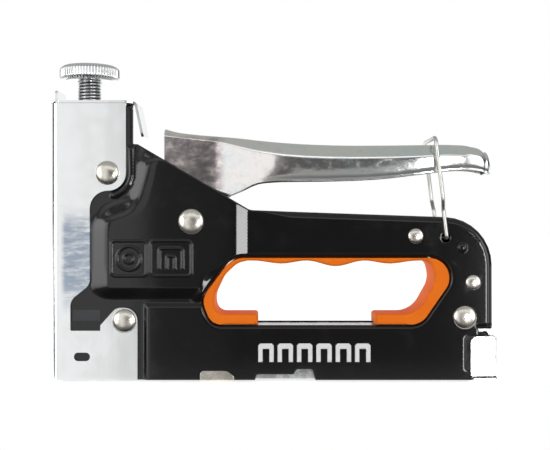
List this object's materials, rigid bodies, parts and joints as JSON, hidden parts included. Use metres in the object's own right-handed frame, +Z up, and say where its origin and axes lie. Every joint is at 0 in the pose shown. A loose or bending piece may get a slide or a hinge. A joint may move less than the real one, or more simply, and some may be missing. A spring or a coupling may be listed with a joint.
{
  "type": "staple gun",
  "caption": "Hand staple gun with a pressed steel body, squeeze handle, wire lock, knurled tension knob, rubber finger grip and pull-out magazine.",
  "frame": {"origin": "centre of the overall length and width, on the surface that the tool stands on", "axes": "+X from the nose to the magazine clip, +Y across the tool, +Z up"},
  "size_m": [0.1746, 0.0276, 0.124],
  "materials": {
    "gloss_black": "gloss",
    "chrome": "polished",
    "zinc": "bright zinc",
    "nickel": "polished nickel",
    "orange_rubber": "satin",
    "grey_rubber": "matte",
    "steel": "satin",
    "spring_steel": "satin",
    "brass": "satin"
  },
  "bodies": {
    "frame": {"left_shell": "gloss_black", "right_shell": "gloss_black", "front_housing": "chrome", "front_plate": "zinc", "top_plate": "zinc", "thread_nut": "steel", "finger_grip": "orange_rubber", "striker_buffer": "grey_rubber", "blade_guide": "steel", "magazine_channel": "zinc", "magazine_bridge": "zinc", "pivot_rivet": "nickel", "large_rivets": "nickel", "small_rivets": "nickel", "body_spacers": "steel", "main_spring": "spring_steel"},
    "screw_seat": {"spring_cap": "steel"},
    "tension_screw": {"tension_knob": "zinc", "tension_screw": "zinc"},
    "striker": {"plunger": "steel", "driver_blade": "steel", "blade_pins": "steel"},
    "handle": {"lever": "chrome", "lifting_arm": "steel", "pivot_bush": "brass", "lever_pin": "steel", "lift_rollers": "steel", "roller_pin": "steel", "lever_spring": "spring_steel"},
    "lock": {"lock_bail": "nickel"},
    "drawer": {"magazine_rail": "steel", "guide_rod": "steel", "rear_clip": "zinc", "rear_catch": "zinc", "rod_nut": "steel", "pusher_spring": "spring_steel"},
    "pusher": {"pusher": "steel"}
  },
  "joints": [
    {"name": "seat_slide", "type": "slide", "parent": "frame", "child": "screw_seat", "axis": [0, 0, 1], "range_m": [-0.004, 0.0025]},
    {"name": "knob_turn", "type": "hinge", "parent": "screw_seat", "child": "tension_screw", "pos_m": [-0.0737, 0, 0.1179], "axis": [0, 0, 1], "range_deg": [-1153, 721]},
    {"name": "handle_hinge", "type": "hinge", "parent": "frame", "child": "handle", "pos_m": [-0.0324, 0, 0.0624], "axis": [0, 1, 0], "range_deg": [0, 7.5], "stiffness_Nm_per_rad": 0.8, "springref_deg": -17.19, "deforming": ["lever_spring"]},
    {"name": "striker_lift", "type": "slide", "parent": "frame", "child": "striker", "axis": [0, 0, 1], "range_m": [0, 0.0053], "deforming": ["main_spring"]},
    {"name": "lock_swing", "type": "hinge", "parent": "frame", "child": "lock", "pos_m": [0.0664, 0, 0.0562], "axis": [0, 1, 0], "range_deg": [0, 152]},
    {"name": "drawer_slide", "type": "slide", "parent": "frame", "child": "drawer", "axis": [1, 0, 0], "range_m": [0, 0.1]},
    {"name": "pusher_slide", "type": "slide", "parent": "drawer", "child": "pusher", "axis": [1, 0, 0], "range_m": [0, 0.1], "stiffness_N_per_m": 20, "springref_m": -0.05, "deforming": ["pusher_spring"]}
  ],
  "couplings": [
    {"joint": "knob_turn", "follows": "seat_slide", "rad_per_m": 5026.5},
    {"joint": "striker_lift", "follows": "handle_hinge", "m_per_rad": 0.0402}
  ]
}
